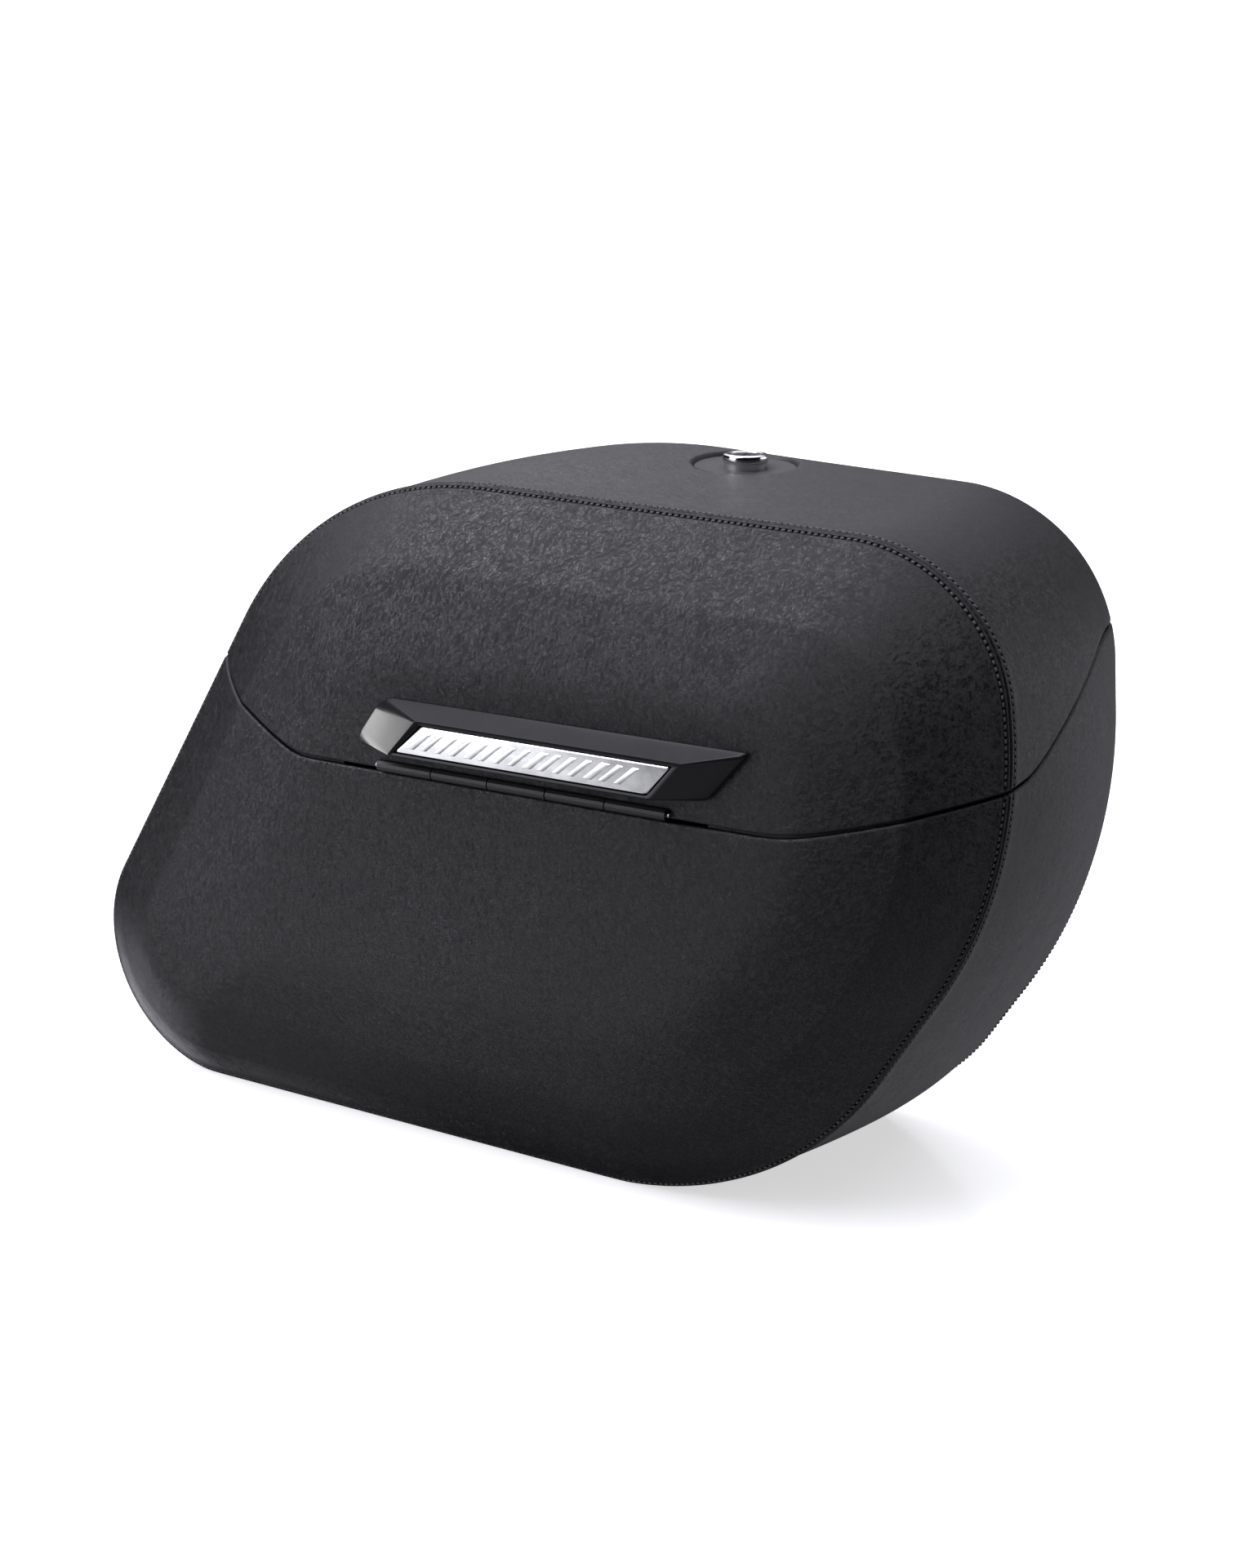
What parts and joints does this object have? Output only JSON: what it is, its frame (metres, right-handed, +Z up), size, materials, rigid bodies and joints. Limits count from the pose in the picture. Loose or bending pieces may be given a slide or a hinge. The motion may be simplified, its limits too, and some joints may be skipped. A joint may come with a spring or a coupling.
{
  "type": "saddlebag",
  "caption": "Hard motorcycle saddlebag in stitched black leather, with a front-hinged lid, key lock on top, badge bar, inner shell and rear mounting pads.",
  "frame": {"origin": "middle of the bounding box on the floor plane", "axes": "+X along the bag's length, towards its upright end; +Z up; -Y is the outer face with the badge, +Y the side bolted to the motorcycle"},
  "size_m": [0.4793, 0.1938, 0.314],
  "materials": {
    "leather": "fine-grained black synthetic leather, satin",
    "shell": "moulded fibre-reinforced plastic, matt",
    "foam": "closed-cell sponge strip",
    "felt": "needle felt",
    "rubber": "moulded rubber",
    "zinc_steel": "bright zinc plate",
    "black_steel": "black powder coat",
    "stay_cable": "nylon-coated steel cable",
    "chrome": "polished chrome",
    "gloss_black": "gloss black moulding",
    "silver": "satin silver plate"
  },
  "bodies": {
    "case": {"case_shell": "shell", "case_front_cover": "leather", "case_band_cover": "leather", "case_back_cover": "leather", "rim_gasket": "foam", "floor_mat": "felt", "backing_plate": "zinc_steel", "striker": "zinc_steel", "striker_rivet_1": "zinc_steel", "striker_rivet_2": "zinc_steel", "hinge_leaf_case": "black_steel", "hinge_pin": "zinc_steel", "hinge_rivet_case_1": "zinc_steel", "hinge_rivet_case_2": "zinc_steel", "hinge_rivet_case_3": "zinc_steel", "lid_stay_left": "stay_cable", "lid_stay_right": "stay_cable", "stay_eye_case_left": "zinc_steel", "stay_eye_case_right": "zinc_steel", "stay_rivet_case_left": "zinc_steel", "stay_rivet_case_right": "zinc_steel", "mount_insert_1": "zinc_steel", "mount_insert_2": "zinc_steel", "mount_insert_3": "zinc_steel", "mount_insert_4": "zinc_steel", "mount_pad_1": "rubber", "mount_pad_2": "rubber", "mount_pad_3": "rubber", "mount_pad_4": "rubber"},
    "lid": {"lid_front_cover": "leather", "lid_band_cover": "leather", "lid_back_cover": "leather", "lock_cup": "leather", "lid_shell": "shell", "lock_nut": "zinc_steel", "hinge_rivet_lid_1": "zinc_steel", "hinge_rivet_lid_2": "zinc_steel", "hinge_rivet_lid_3": "zinc_steel", "badge_screw_1": "zinc_steel", "badge_screw_2": "zinc_steel", "stay_eye_lid_left": "zinc_steel", "stay_eye_lid_right": "zinc_steel", "stay_rivet_lid_left": "zinc_steel", "stay_rivet_lid_right": "zinc_steel", "hinge_leaf_lid": "black_steel", "lock_housing": "chrome", "badge_bezel": "gloss_black", "badge_insert": "silver"},
    "lock": {"lock_plug": "chrome", "lock_cam": "zinc_steel", "cam_screw": "zinc_steel"}
  },
  "joints": [
    {"name": "lid_hinge", "type": "hinge", "parent": "case", "child": "lid", "pos_m": [0, -0.08405, 0.1905], "axis": [1, 0, 0], "range_deg": [0, 80], "deforming": ["lid_stay_left", "lid_stay_right"]},
    {"name": "lock_turn", "type": "hinge", "parent": "lid", "child": "lock", "pos_m": [0.07362, 0.04655, 0.3], "axis": [0, 0, 1], "range_deg": [0, 90]}
  ]
}
